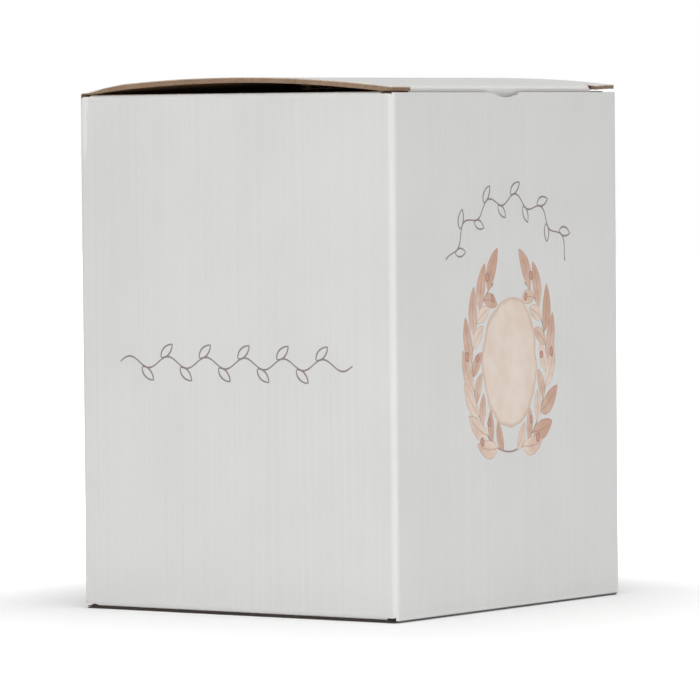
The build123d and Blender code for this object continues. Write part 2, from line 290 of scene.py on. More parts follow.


# %% [markdown]
# The head of the back left corner has been bent: the bend is a bump, and an uneven band there is painted pale
# as a painted highlight where the bent paper catches the light. The lowest part of the front and back rolls
# is painted dark as painted shade, the shadow of the gap under the carton. These are masks too. A slow noise
# that is added to the place makes the border of the bent band wander, which a straight formula wouldn't.

# %% The bent corner with its painted highlight, and the painted shade at the foot
SIDE_HEIGHT_MM = SIDE_HEIGHT / MM
BENT_FOOT = 98.0
BENT_HEAD = 112.0
BENT_START = 2.2
BENT_FULL = 1.6
BENT_GRAIN = 0.35
BENT_WANDER = 1.6
BENT_NARROWING = 0.05
# Where the painted shade of the gap under the carton lies on the front and back rolls.
FOOT_START = 1.3
FOOT_FULL = 1.0
FOOT_UNSHADED_ABOVE = 0.6
FOOT_SHADED_BELOW = 0.42


def bent_corner_and_highlight(finish):
    """1 in a band at the head of the back left corner that wanders and narrows downwards: a painted highlight
    over the bend's bump.
    """
    _, x, y, z = finish.millimetres()
    wander = finish.noise(BENT_GRAIN, 2.0, (1.0, 1.0, 0.3)) * BENT_WANDER
    narrowing = (z - SIDE_HEIGHT_MM) * BENT_NARROWING
    beside = (y + wander + narrowing).rise(HALF_DEPTH_MM - BENT_START, HALF_DEPTH_MM - BENT_FULL)
    on_the_left = (x * -1).rise(0.0, 1.0)
    return beside * z.rise(BENT_FOOT, BENT_HEAD) * on_the_left


def painted_foot_shade(finish):
    """1 along the lowest part of the front and back rolls, which is darkened there as painted shade."""
    _, _, y, z = finish.millimetres()
    on_roll = abs(y).rise(HALF_DEPTH_MM - FOOT_START, HALF_DEPTH_MM - FOOT_FULL)
    return on_roll * z.rise(FOOT_UNSHADED_ABOVE, FOOT_SHADED_BELOW)


# The band at the foot is painted shade, and the bent corner's band is a painted highlight over a bump.
print("the corner is bent above", BENT_FOOT, "mm, and the foot is soiled below", FOOT_UNSHADED_ABOVE, "mm")


# %% [markdown]
# ## The printed paper
# The outside of the carton is coated paper, printed pale grey. Up close it isn't one colour: the fibres under
# the coating make it faintly mottled, the flutes show through as soft upright lines, and the coating is
# cracked where the board is creased. A few noises of different grain, added together, give all of that. The
# same function makes the plain paper and the paper with artwork, so that both match where they meet.

# %% The printed paper
PAPER_GREY = srgb(218, 218, 216)
PAPER_SHADE = srgb(213, 213, 212)
# Pale paper for rubbed folds and the thumb notch, and a painted highlight on the bent corner.
PALE_PAPER_AND_HIGHLIGHT = srgb(228, 227, 225)
# A painted shade for the gap under the carton, at the foot of the front and back rolls.
PAPER_PAINTED_SHADE = srgb(84, 83, 80)
FIBRE_SPECK = srgb(196, 190, 182)
CLOUD_GRAIN = 0.045
MOTTLE_GRAIN = 1.6
FINE_GRAIN = 9.0
FLUTE_LINE_GRAIN = 1.4
SPECK_GRAIN = 3.2
RUB_GRAIN = 0.9
CRACK_GRAIN = 3.0
UPRIGHT = (1.0, 1.0, 0.01)
FINE_HEIGHT = 0.004
MOTTLE_HEIGHT = 0.006
CRACK_HEIGHT = 0.012
BENT_HEIGHT = 0.12


def printed_paper(name, artwork=None):
    """Pale grey coated paper. Artwork is a function that paints on it and returns the painted colour."""
    finish = Finish(name, Specular_IOR_Level=0.5)
    cloudy = finish.noise(CLOUD_GRAIN, 3.0)
    mottled = finish.noise(MOTTLE_GRAIN, 3.0)
    fine = finish.noise(FINE_GRAIN)
    flute_lines = finish.noise(FLUTE_LINE_GRAIN, 2.0, UPRIGHT)
    shade = cloudy * 0.4 + flute_lines * 0.3 + mottled * 0.2 + fine * 0.1
    colour = finish.mix(shade.rise(0.35, 0.65), PAPER_GREY, PAPER_SHADE)
    speck = finish.noise(SPECK_GRAIN, 1.0, (1.0, 1.0, 0.45)).rise(0.735, 0.79) * 0.35
    colour = finish.mix(speck, colour, FIBRE_SPECK)
    if artwork:
        colour = artwork(finish, colour)
    crease = near_crease(finish)
    bent = bent_corner_and_highlight(finish)
    rubbed = crease * (finish.noise(RUB_GRAIN, 4.0).rise(0.2, 0.7) * 0.3 + 0.3)
    # Pale paper: rubbed on the folds, and a painted highlight on the bent corner.
    colour = finish.mix(rubbed.function("MAXIMUM", bent), colour, PALE_PAPER_AND_HIGHLIGHT)
    # Painted shade: the foot of the rolls is darkened where the gap under the carton lies in shadow.
    colour = finish.mix(painted_foot_shade(finish) * 0.85, colour, PAPER_PAINTED_SHADE)
    roughness = 0.44 + mottled * 0.12 + crease * 0.08
    cracks = crease * finish.noise(CRACK_GRAIN, 3.0)
    grain = fine * FINE_HEIGHT + mottled * MOTTLE_HEIGHT
    return finish.finish(colour, roughness, grain + cracks * CRACK_HEIGHT + bent * BENT_HEIGHT)


paper = printed_paper("printed_paper")


# %% [markdown]
# ## The artwork on the front
# The front carries a small painted wreath around a pale wash, in beige and clay like a watercolour. It could
# be a picture, but a procedural one stays sharp at any size and needs no file. Polar repetition keeps it
# short: around the wreath's oval the plane is cut in equal cells, one leaf is drawn in the cell's own
# coordinates, and a random number for each cell tilts and tints its leaf. A leaf is where a lens shape, as
# wide as a parabola over its length, is wider than the point's distance from the leaf's rib.

# %% A leaf, and axes that turn
LEAF_BEIGE = srgb(228, 211, 197)
LEAF_CLAY = srgb(199, 160, 140)
LEAF_RIM = srgb(150, 108, 92)
LEAF_POINTEDNESS = 0.8
LEAF_ROOT_BREADTH = 1.12
LEAF_TAPER = 0.24
LEAF_GRAIN = 0.35
LEAF_BORDER_GRAIN = 1.2


def leaf(along, across, length, width):
    """How far a point is inside a pointed leaf, and its place along the leaf from 0 to 1."""
    place = along / length
    inside = place.function("MAXIMUM", 0.0).function("MINIMUM", 1.0)
    belly = (inside * (1 - inside) * 4).function("MAXIMUM", 0.0001) ** LEAF_POINTEDNESS
    breadth = belly * (width / 2) * (LEAF_ROOT_BREADTH - inside * LEAF_TAPER)
    beyond = abs(place - inside) * length
    return breadth - abs(across) - beyond * 2, inside


def turned(s, r, angle):
    """The same point in axes that are turned by an angle, which is a wire or a number."""
    if isinstance(angle, Wire):
        cosine, sine = angle.function("COSINE"), angle.function("SINE")
    else:
        cosine, sine = math.cos(angle), math.sin(angle)
    return s * cosine + r * sine, r * cosine - s * sine


def painted_leaf(finish, colour, depth, place, across, random, tint):
    """A watercolour leaf over the colour: pale in the middle, with a darker rim and a fine rib."""
    wash = (finish.noise(LEAF_GRAIN, 3.0) * 0.7 + random * 0.55 + place * tint).rise(0.3, 1.1)
    body = finish.mix(wash, LEAF_BEIGE, LEAF_CLAY)
    rim = (1 - depth.rise(0.04, 0.3)) * 0.6
    body = finish.mix(rim, body, LEAF_RIM)
    rib = (1 - abs(across).rise(0.05, 0.2)) * (1 - place.rise(0.75, 0.9)) * 0.4
    body = finish.mix(rib, body, LEAF_RIM)
    soft_border = finish.noise(LEAF_BORDER_GRAIN) * 0.16 - 0.08
    return finish.mix((depth + soft_border).rise(0.0, 0.12), colour, body)


# %% [markdown]
# Inside the wreath lies a wash: an oval of thinned colour whose border wanders with a slow noise. It is
# darkest just inside that border, where a real wash dries last, and the grain of the paper shows in it.

# %% The wash
WREATH_MIDDLE = 57.0
WREATH_HALF_WIDTH = 15.5
WREATH_HALF_HEIGHT = 20.5
WASH_PALE = srgb(231, 218, 207)
WASH_DEEP = srgb(221, 200, 184)
WASH_RIM = srgb(203, 176, 157)
WASH_SHARE = 0.74
WASH_BORDER_GRAIN = 0.11
WASH_WANDER = 0.35
WASH_GRAIN = 0.16
WASH_PAPER_GRAIN = 2.2


def wash_oval(finish, colour, across, upward):
    """A pale wash with a darker rim. Across and upward are 1 on the wreath's own oval."""
    wander = (finish.noise(WASH_BORDER_GRAIN, 3.0) - 0.5) * WASH_WANDER
    reach = (across * across + upward * upward) ** 0.5 / WASH_SHARE + wander
    tone = (finish.noise(WASH_GRAIN, 4.0) * 1.2 + reach * 0.25 - 0.2).rise(0.2, 0.9)
    wash = finish.mix(tone, WASH_PALE, WASH_DEEP)
    wash = finish.mix(reach.rise(0.9, 0.99) * 0.8, wash, WASH_RIM)
    grain = finish.noise(WASH_PAPER_GRAIN, 3.0).rise(0.2, 0.8) * 0.12 + 0.86
    return finish.mix((1 - reach.rise(0.99, 1.01)) * grain, colour, wash)


print("the wash is", 2 * WREATH_HALF_WIDTH * WASH_SHARE, "mm wide")


# %% [markdown]
# The wreath is open at the top, as two sprigs that grow up from a common foot. Folding the plane along the
# upright middle line draws the second sprig for free. The random numbers come from the side and the cell
# together, so the two sprigs don't mirror each other exactly. A leaf is longer than its cell, so each cell
# draws the tip of the leaf behind it too. One row of leaves grows outwards and one inwards. A row has its
# shift in cells, its tilt in radians, its leaf's length and width, its direction and its tint.

# %% The wreath
STEM_BROWN = srgb(129, 96, 84)
BERRY_ROSE = srgb(196, 150, 134)
WREATH_CELLS = 10
LEAF_ROWS = ((0.0, 0.62, 9.2, 3.9, 1.0, 0.35), (0.5, 0.58, 7.4, 3.3, -1.0, 0.15))
LEAF_ROOT = 0.08
TILT_SPREAD = 0.3
ROW_SEED = 7.3
STEM_END = 0.86
STEM_GRAIN = 0.12
BERRY_SHIFT = 0.22
BERRY_STEP = 3.0
BERRY_LAST_CELL = 8
BERRY_LIFTS = (2.6, -2.4)
mean_radius = (WREATH_HALF_WIDTH + WREATH_HALF_HEIGHT) / 2
cell_length = math.pi * mean_radius / WREATH_CELLS


def leaf_row(finish, painted, turn, reach, side, row):
    """A row of leaves along both sprigs."""
    shift, tilt, length, width, outward, tint = row
    count = turn * WREATH_CELLS + shift
    for behind in (0, 1):
        index = count.function("FLOOR") - behind
        seed = {"W": index * side + shift * ROW_SEED}
        random = finish.add("ShaderNodeTexWhiteNoise", {"noise_dimensions": "1D"}, seed)
        s = (count - index - LEAF_ROOT) * cell_length
        along, beside = turned(s, reach * outward, (random - 0.5) * TILT_SPREAD + tilt)
        depth, place = leaf(along, beside, length, width)
        growing = index.rise(0.4, 0.6) * (1 - index.rise(WREATH_CELLS - 1.4, WREATH_CELLS - 1.2))
        depth = depth * growing - (1 - growing)
        painted = painted_leaf(finish, painted, depth, place, beside, random, tint)
    return painted


def berries(finish, painted, turn, reach):
    """A pair of berries in every third cell."""
    count = turn * WREATH_CELLS + BERRY_SHIFT
    index = count.function("FLOOR")
    s = (count - index - 0.5) * cell_length
    before_end = 1 - index.rise(BERRY_LAST_CELL + 0.4, BERRY_LAST_CELL + 0.6)
    shown = index.function("MODULO", BERRY_STEP).rise(1.4, 1.6) * before_end
    for lift in BERRY_LIFTS:
        distance = ((s * s) + (reach - lift) * (reach - lift)) ** 0.5
        painted = finish.mix(distance.rise(0.95, 0.8) * shown, painted, STEM_BROWN)
        painted = finish.mix(distance.rise(0.8, 0.65) * shown, painted, BERRY_ROSE)
    return painted


def wreath(finish, colour):
    """Two leafy sprigs on an oval, open at the top, around a wash."""
    _, x, _, z = finish.millimetres()
    side = x.function("SIGN")
    across = abs(x) / WREATH_HALF_WIDTH
    upward = (z - WREATH_MIDDLE) / WREATH_HALF_HEIGHT
    turn = across.function("ARCTAN2", upward * -1) / math.pi
    reach = ((across * across + upward * upward) ** 0.5 - 1) * mean_radius
    stem_away = abs(reach + finish.noise(STEM_GRAIN, 1.0) * 0.8 - 0.4)
    stem = (1 - stem_away.rise(0.1, 0.26)) * (1 - turn.rise(STEM_END - 0.005, STEM_END + 0.005))
    painted = wash_oval(finish, colour, across, upward)
    painted = finish.mix(stem * 0.8, painted, STEM_BROWN)
    for row in LEAF_ROWS:
        painted = leaf_row(finish, painted, turn, reach, side, row)
    return berries(finish, painted, turn, reach)


print("each sprig has", WREATH_CELLS - 2, "cells of", round(cell_length, 1), "mm")


# %% [markdown]
# ## The drawn vine
# A thin line is drawn across the left side, no wider than a pen stroke, and another arches over the wreath.
# Both are the same vine: a sine curve is the stem, and each of its waves is a cell with a small leaf outline
# above or below. The function takes how far a point is along the vine and above it, so the straight one reads
# these from the side's axes, and the arched one reads them from an angle and a radius. A leaf is drawn only
# where the whole of it is on the vine.

# %% The vine
VINE_INK = srgb(112, 92, 88)
VINE_WAVE = 11.0
VINE_SWING = 1.3
VINE_LEAF_LENGTH = 4.6
VINE_LEAF_WIDTH = 2.3
VINE_LEAF_TILT = 0.75
VINE_LEAF_LIFT = 1.1
VINE_LEAF_ROOT = 0.32
STROKE = 0.3
STROKE_BORDER = 0.12
INK_GRAIN = 0.9


def vine(finish, colour, run, level, half_length):
    """A thin drawn vine with small open leaves."""
    swing = (run * (2 * math.pi / VINE_WAVE)).function("SINE")
    away = level - swing * VINE_SWING
    shown = 1 - abs(run).rise(half_length - 0.1, half_length)
    ink = (1 - abs(away).rise(STROKE / 2, STROKE / 2 + STROKE_BORDER)) * shown
    last_cell = half_length / VINE_WAVE - 0.4
    for shift, flip in ((0.25, 1.0), (0.75, -1.0)):
        count = run / VINE_WAVE + shift
        index = count.function("FLOOR")
        s = (count - index - VINE_LEAF_ROOT) * VINE_WAVE
        along, beside = turned(s, level * flip - VINE_LEAF_LIFT, VINE_LEAF_TILT)
        depth, _ = leaf(along, beside, VINE_LEAF_LENGTH, VINE_LEAF_WIDTH)
        outline = 1 - abs(depth - STROKE / 2).rise(STROKE / 2, STROKE / 2 + STROKE_BORDER)
        whole = 1 - abs(index + 0.5 - shift).rise(last_cell - 0.05, last_cell + 0.05)
        ink = ink.function("MAXIMUM", outline * whole)
    worn = 0.72 + finish.noise(INK_GRAIN) * 0.2
    return finish.mix(ink * worn, colour, VINE_INK)


# %% [markdown]
# The artwork is painted only on the flat of its own face. The same paper also covers the rolls beside the
# face, and without this the pattern would be drawn on them as well, pulled long.

# %% The papers with artwork
SIDE_VINE_LEVEL = 58.0
SIDE_VINE_HALF_LENGTH = 33.0
ARCH_MIDDLE = 66.0
ARCH_RADIUS = 29.0
ARCH_HALF_LENGTH = 30.0
ARTWORK_START = 0.3
ARTWORK_FULL = 0.1


def on_face(finish, outward, half, plain, painted):
    """The painted colour on a face, and the plain one on the rolls around it."""
    return finish.mix(outward.rise(half - ARTWORK_START, half - ARTWORK_FULL), plain, painted)


def front_artwork(finish, colour):
    """The wreath, with the arched vine over it."""
    _, x, y, z = finish.millimetres()
    angle = x.function("ARCTAN2", z - ARCH_MIDDLE)
    radius = (x * x + (z - ARCH_MIDDLE) * (z - ARCH_MIDDLE)) ** 0.5
    painted = wreath(finish, colour)
    painted = vine(finish, painted, angle * ARCH_RADIUS, radius - ARCH_RADIUS, ARCH_HALF_LENGTH)
    return on_face(finish, y * -1, HALF_DEPTH_MM, colour, painted)


def side_artwork(finish, colour):
    """The straight vine of the left side."""
    _, x, y, z = finish.millimetres()
    painted = vine(finish, colour, y * -1, z - SIDE_VINE_LEVEL, SIDE_VINE_HALF_LENGTH)
    return on_face(finish, x * -1, HALF_WIDTH_MM, colour, painted)


front_paper = printed_paper("printed_paper_wreath", front_artwork)
side_paper = printed_paper("printed_paper_vine", side_artwork)


# %% [markdown]
# ## Brown paper
# The cut edges, the flutes and the whole inside are brown kraft paper. Its fibres lie mostly one way, so the
# noise is stretched along them, and a few dark flecks and pale fibres break up the colour. Two places differ:
# the raw side edges of the base are painted dark as painted shade, the shadow of the gap under the walls, and
# in the thumb notch the knife has drawn the white coating over the edge. One function makes four finishes,
# since only the tones and the run of the fibres differ.

# %% Kraft finishes
FLECK_BROWN = srgb(98, 72, 50)
# A painted shade for the gap under the walls, on the base's raw side edges.
EDGE_PAINTED_SHADE = srgb(80, 76, 72)
FIBRE_GRAIN = 2.2
TONE_GRAIN = 0.18
FLECK_GRAIN = 4.5
FUZZ_GRAIN = 8.0
FIBRE_HEIGHT = 0.03
FUZZ_HEIGHT = 0.015
EDGE_START = 2.2
EDGE_FULL = 1.4
# Where the painted shade on the base's raw side edges lies.
EDGE_UNSHADED_ABOVE = 2.0
EDGE_SHADED_BELOW = 0.8
NOTCH_HALF_WIDTH = 7.0
NOTCH_LEVEL = 118.6
NOTCH_INSIDE = 43.2


def in_notch(finish):
    """1 on the cut edge of the thumb notch."""
    _, x, y, z = finish.millimetres()
    across = 1 - abs(x).rise(NOTCH_HALF_WIDTH, NOTCH_HALF_WIDTH + 0.2)
    in_front = (y * -1).rise(NOTCH_INSIDE, NOTCH_INSIDE + 0.1)
    return across * z.rise(NOTCH_LEVEL - 0.2, NOTCH_LEVEL) * in_front


def painted_edge_shade(finish):
    """1 on the raw side edges of the base, which are darkened there as painted shade."""
    _, x, _, z = finish.millimetres()
    at_side = abs(x).rise(HALF_WIDTH_MM - EDGE_START, HALF_WIDTH_MM - EDGE_FULL)
    return z.rise(EDGE_UNSHADED_ABOVE, EDGE_SHADED_BELOW) * at_side


def kraft(name, pale, deep, stretch):
    """Uncoated brown paper with fibres, flecks and a dry surface."""
    finish = Finish(name, Specular_IOR_Level=0.3)
    fibres = finish.noise(FIBRE_GRAIN, 4.0, stretch)
    tones = finish.noise(TONE_GRAIN)
    fleck = finish.noise(FLECK_GRAIN, 1.0, (0.6, 0.6, 1.0)).rise(0.72, 0.78)
    colour = finish.mix((fibres * 0.7 + tones * 0.3).rise(0.3, 0.7), pale, deep)
    colour = finish.mix(fleck * 0.4, colour, FLECK_BROWN)
    # Painted shade: the base's raw side edges are darkened where the gap under the walls lies in shadow.
    colour = finish.mix(painted_edge_shade(finish) * 0.92, colour, EDGE_PAINTED_SHADE)
    colour = finish.mix(in_notch(finish), colour, PALE_PAPER_AND_HIGHLIGHT)
    roughness = 0.82 + fibres * 0.12
    fuzz = finish.noise(FUZZ_GRAIN)
    return finish.finish(colour, roughness, fibres * FIBRE_HEIGHT + fuzz * FUZZ_HEIGHT)


inner_kraft = kraft("kraft_paper", srgb(186, 154, 122), srgb(168, 134, 102), (0.5, 1.0, 1.0))
cut_coated = kraft("cut_coated_edge", srgb(206, 188, 172), srgb(178, 156, 138), (1.0, 1.0, 1.0))
cut_kraft = kraft("cut_kraft_edge", srgb(158, 133, 111), srgb(128, 104, 84), (1.0, 1.0, 1.0))
flute_kraft = kraft("fluted_kraft", srgb(168, 134, 102), srgb(146, 112, 82), (1.0, 1.0, 0.5))

# %% [markdown]
# The glue in the joint is a thin film that has dried to a dull gloss, a little clouded where it lies thicker.
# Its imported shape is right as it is, so its node only gets this finish in its material slot.

# %% The glue
GLUE_GRAIN = 0.8
GLUE_HEIGHT = 0.04
glue_finish = Finish("dried_glue", Specular_IOR_Level=0.5)
glue_film = glue_finish.noise(GLUE_GRAIN, 3.0)
glue = glue_finish.finish(
    glue_finish.mix(glue_film.rise(0.35, 0.65), srgb(226, 214, 184), srgb(204, 190, 158)),
    0.35 + glue_film * 0.2,
    glue_film * GLUE_HEIGHT,
)
frame["nodes"]["glue_line"].material_slots[0].material = glue


# %% [markdown]
# ## Working on copies of the panels
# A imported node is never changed: its mesh is loose triangles that the physics shares. A copy can be shaped.
# It is merged into one skin, its flat areas become single faces again, and it is cut by a row of planes
# wherever the flutes need a line of points.

# %% Copying, cutting and keeping a panel
WELD = 0.002 * MM
FLAT = math.radians(0.2)
SMOOTH_UNDER = math.radians(38)
MOST_CORNERS = 4


def merged_copy(node):
    """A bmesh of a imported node, welded, with its flat areas as single faces."""
    shape = bmesh.new()
    shape.from_mesh(frame["nodes"][node].data)
    bmesh.ops.remove_doubles(shape, verts=shape.verts, dist=WELD)
    bmesh.ops.dissolve_limit(shape, angle_limit=FLAT, verts=shape.verts, edges=shape.edges)
    return shape


def cut_across(shape, direction, places):
    """Cuts the shape by a plane at each place along a direction."""
    for place in places:
        everything = shape.verts[:] + shape.edges[:] + shape.faces[:]
        bmesh.ops.bisect_plane(
            shape, geom=everything, dist=WELD, plane_co=direction * place, plane_no=direction
        )


def meshed(shape, name, materials):
    """An object in the scene with the shape as its mesh. It is smooth except at its sharp edges."""
    mesh = bpy.data.meshes.new(name)
    shape.to_mesh(mesh)
    shape.free()
    mesh.shade_smooth()
    mesh.set_sharp_from_angle(angle=SMOOTH_UNDER)
    for material in materials:
        mesh.materials.append(material)
    piece = bpy.data.objects.new(name, mesh)
    bpy.context.scene.collection.objects.link(piece)
    return piece


def kept_piece(shape, name, node, materials, chosen=None):
    """Makes the finished piece, which replaces its node and moves with the node's body.

    Chosen tells of a face whether it takes the second material.
    """
    many_sided = [face for face in shape.faces if len(face.verts) > MOST_CORNERS]
    bmesh.ops.triangulate(shape, faces=many_sided)
    if chosen:
        for face in shape.faces:
            face.material_index = int(chosen(face))
    piece = meshed(shape, name, materials)
    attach(piece, frame["nodes"][node]["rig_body"])
    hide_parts(node)
    return piece


# %% [markdown]
# ## How the lid has settled
# A packed lid is perfectly even, and a used one isn't. Its hinge crease is crushed at both ends, and its
# right ear has sprung up a little. These are small changes, so they are made by moving points: one function
# says where a point of the lid's end has settled. Whatever meets at a crease is moved by the same function,
# and so it still meets. The middle of the hinge stays on its axis, or the lid would part from the back panel
# as it opens.

# %% Where the points of the lid settle
HINGE_Y = CARTON_DEPTH / 2 - CREASE_RADIUS
HINGE_PRESS = 0.7
HINGE_PRESS_REACH = 9.0 * MM
HINGE_PRESS_ROOT_X = 41.0 * MM
HINGE_PRESS_TIP_X = 46.0 * MM
EAR_LIFT = 0.4 * MM
EAR_LIFT_ROOT_X = 33.0 * MM
EAR_LIFT_TIP_X = 45.0 * MM
EAR_LIFT_START_Y = -2.0 * MM
EAR_LIFT_END_Y = -40.0 * MM
LID_CUTS = [place * MM for place in (
    -43.4, -42.9, -42.4, -41.9, *range(-40, 36, 4), 37.5, 38.5, 39.5, 40.5, 41.5, 42.5, 43.0
)]


def smooth(value, low, high):
    """0 at low, 1 at high, and smooth between them."""
    share = max(0.0, min(1.0, (value - low) / (high - low)))
    return share * share * (3 - 2 * share)


def settled(point):
    """Where a point of the lid's end comes to lie."""
    above = point.z - SIDE_HEIGHT
    if above <= 0:
        return point
    pressed = smooth(point.y, HINGE_Y - HINGE_PRESS_REACH, HINGE_Y)
    pressed *= smooth(abs(point.x), HINGE_PRESS_ROOT_X, HINGE_PRESS_TIP_X)
    lift = smooth(point.x, EAR_LIFT_ROOT_X, EAR_LIFT_TIP_X)
    lift *= smooth(-point.y, -EAR_LIFT_START_Y, -EAR_LIFT_END_Y)
    return Vector((point.x, point.y, point.z - above * HINGE_PRESS * pressed + EAR_LIFT * lift))


def move_points(shape, moved):
    """Moves every point of a shape to where the function says."""
    for vertex in shape.verts:
        vertex.co = moved(vertex.co)


print("the lid is cut in", len(LID_CUTS), "places, so that it can bend there")


# %% [markdown]
# The right dust flap is springy too. Its free end rises into the bow until it almost touches the lid, so that
# no light shows through from side to side. The bow's height is needed for that, and it is worked out here
# from the lid's chord and its rise.

# %% The bow of the lid, and the flap that springs up into it
chord = HINGE_Y - FRONT_ROLL_Y
bow_radius = (chord**2 / 4 + LID_BOW**2) / (2 * LID_BOW) + CREASE_RADIUS
bow_angle = 2 * math.asin(chord / 2 / (bow_radius - CREASE_RADIUS))
bow_centre = Vector((0, (HINGE_Y + FRONT_ROLL_Y) / 2, LID_TOP + LID_BOW - bow_radius))
SPRUNG_PANEL = "top_right_dust_flap"
SPRING_START = 8.0 * MM
SPRING_END = 30.0 * MM
SPRUNG_GAP = 0.06 * MM
FLAP_CUTS = [place * MM for place in range(10, 40, 2)]


def lid_face_level(y):
    """The height of the lid's outer face, which is straight beyond the ends of the bow."""
    end = bow_radius * math.sin(bow_angle / 2)
    away = y - bow_centre.y
    inside = max(-end, min(end, away))
    level = bow_centre.z + math.sqrt(bow_radius**2 - inside**2)
    return level - abs(away - inside) * math.tan(bow_angle / 2)


def sprung(point):
    """Where a point of the right dust flap comes to lie as it rises into the bow."""
    inward = smooth(CARTON_WIDTH / 2 - point.x, SPRING_START, SPRING_END)
    room = lid_face_level(point.y) - BOARD - SIDE_HEIGHT - SPRUNG_GAP
    return point + UP * max(0.0, room) * inward


print("the bow has a radius of", round(bow_radius / MM, 1), "mm")

# %% [markdown]
# ## Rounding the flutes
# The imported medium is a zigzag, because that takes few faces. The real one is a smooth wave. The zigzag's
# crest is found from its highest point, extra cuts are made between crest and valley, and each point slides
# from the straight flank onto a cosine with the same crest and valley. A Bevel modifier could round the
# crests too, but it wouldn't bend the flanks. Trimmed ends and round corners stay as they are.

# %% From zigzag to wave
CUTS_TO_A_FLUTE = 8


def flute_places(low, high, crest, cuts):
    """Places along the board from low to high, so many to a flute, with one at the crest."""
    step = FLUTE_PITCH / cuts
    first = math.ceil((low - crest) / step)
    last = math.floor((high - crest) / step)
    return [crest + number * step for number in range(first, last + 1)]


def measured_flutes(node, outward, spacing):
    """The crest's place, and the range of the medium along the spacing and outward directions."""
    points = [vertex.co for vertex in frame["nodes"][node].data.vertices]
    across = [point.dot(spacing) for point in points]
    level = [point.dot(outward) for point in points]
    crest = across[level.index(max(level))]
    return crest, (min(across), max(across)), (min(level), max(level))


def from_crest(place, crest):
    """0 at a crest of the flutes and 1 in a valley."""
    share = (place - crest) / FLUTE_PITCH
    return 2 * abs(share - round(share))


def rounded_flutes(panel):
    """The medium of a flat panel as a smooth wave."""
    outward, spacing = PANELS[panel]
    node = panel + "_flutes"
    crest, across, level = measured_flutes(node, outward, spacing)
    shape = merged_copy(node)
    cut_across(shape, spacing, flute_places(*across, crest, CUTS_TO_A_FLUTE))
    swing = level[1] - level[0] - MEDIUM
    for vertex in shape.verts:
        share = from_crest(vertex.co.dot(spacing), crest)
        wave = (1 - math.cos(math.pi * share)) / 2
        vertex.co += outward * swing * (share - wave)
    if panel == SPRUNG_PANEL:
        cut_across(shape, X_AXIS, FLAP_CUTS)
        move_points(shape, sprung)
    return kept_piece(shape, panel + "_flute_wave", node, [flute_kraft])


for panel in PANELS:
    if panel != "lid_panel":
        wave = rounded_flutes(panel)
        print(wave.name, len(wave.data.polygons), "faces")

# %% [markdown]
# The lid is bowed, so its flutes bend along their length. There the wave is drawn once, as a row of faces
# across the lid at its hinge, and spun about the centre of the bow to the front crease. It is then cut in the
# same places as the liners, or it would show through them where the hinge is crushed.

# %% The bowed flutes of the lid
LID_BOW_STEPS = 24


def spin_closed(shape, start, centre, axis, angle, steps):
    """Spins the start about an axis, half of the angle to each side, and closes the shape's ends."""
    turned_back = Matrix.Rotation(-angle / 2, 3, axis)
    bmesh.ops.rotate(shape, verts=shape.verts, cent=centre, matrix=turned_back)
    bmesh.ops.spin(shape, geom=start, cent=centre, axis=axis, angle=angle, steps=steps, use_merge=False)
    bmesh.ops.holes_fill(shape, edges=[edge for edge in shape.edges if edge.is_boundary], sides=0)
    bmesh.ops.recalc_face_normals(shape, faces=shape.faces)


def lid_wave():
    """The medium of the lid."""
    node = "lid_panel_flutes"
    low, high = (corner.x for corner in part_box(node))
    crest = low + FLUTE_PITCH / 2
    swing = BOARD - 2 * LINER - MEDIUM
    shape = bmesh.new()
    upper, lower = [], []
    for place in flute_places(low, high, crest, CUTS_TO_A_FLUTE):
        wave = swing * (1 - math.cos(math.pi * from_crest(place, crest))) / 2
        level = bow_centre.z + bow_radius - LINER - wave
        upper.append(shape.verts.new((place, bow_centre.y, level)))
        lower.append(shape.verts.new((place, bow_centre.y, level - MEDIUM)))
    quads = [
        shape.faces.new((upper[i], upper[i + 1], lower[i + 1], lower[i])) for i in range(len(upper) - 1)
    ]
    start = shape.verts[:] + shape.edges[:] + quads
    spin_closed(shape, start, bow_centre, X_AXIS, bow_angle, LID_BOW_STEPS)
    cut_across(shape, Y_AXIS, LID_CUTS)
    move_points(shape, settled)
    return kept_piece(shape, "lid_panel_flute_wave", node, [flute_kraft])


lid_flutes = lid_wave()
print(lid_flutes.name, len(lid_flutes.data.polygons), "faces")

# %% [markdown]
# ## The lid's raw edges
# Where a knife cuts board, it presses the liners together, and the raw edge is closed. At the ears the whole
# board is pinched thin. A separate strip could cover the edge, but it would show its own seam. So the points
# of the inner liner move up to the outer liner there, and the liner itself closes the edge.

# %% Closing the lid's raw edges
EAR_PINCH_X = 38.0 * MM
EAR_PINCH_START_Y = -41.5 * MM
EAR_PINCH_END_Y = -43.0 * MM
PINCHED_BOARD = 0.95 * MM
LID_HALF_WIDTH = 46.7 * MM
SLIVER = 0.05 * MM


def closed_edge(point):
    """Where a point of the lid's inner liner goes as the raw edge beside it is pressed shut."""
    if point.y > HINGE_Y - SLIVER:
        return point
    at_ear = abs(point.x) > EAR_PINCH_X
    pinch = smooth(-point.y, -EAR_PINCH_START_Y, -EAR_PINCH_END_Y) if at_ear else 0
    closed = max(pinch, 1 if abs(point.x) > LID_HALF_WIDTH - SLIVER else 0)
    on_medium = lid_face_level(point.y) - point.z < BOARD - LINER / 2
    rise = (BOARD - 2 * LINER) * closed if on_medium else (BOARD - PINCHED_BOARD) * pinch
    return point + UP * rise


print("the ears are pinched to", round(PINCHED_BOARD / MM, 2), "mm")


# %% [markdown]
# ## Liners that sag between the flutes
# On real corrugated board the liners are glued to the flutes at their crests and sink a little between them.
# This washboard is what makes the faint upright lines on the carton. It is only a few hundredths of a
# millimetre deep. It could be a bump in the finish, but it is made as shape, so that it catches the light by
# itself. The faces that look outward on the outer liner take the print, and the broad faces of the inner
# liner are plain brown. The cut edges are paler on the coated liner and darker on the brown one.

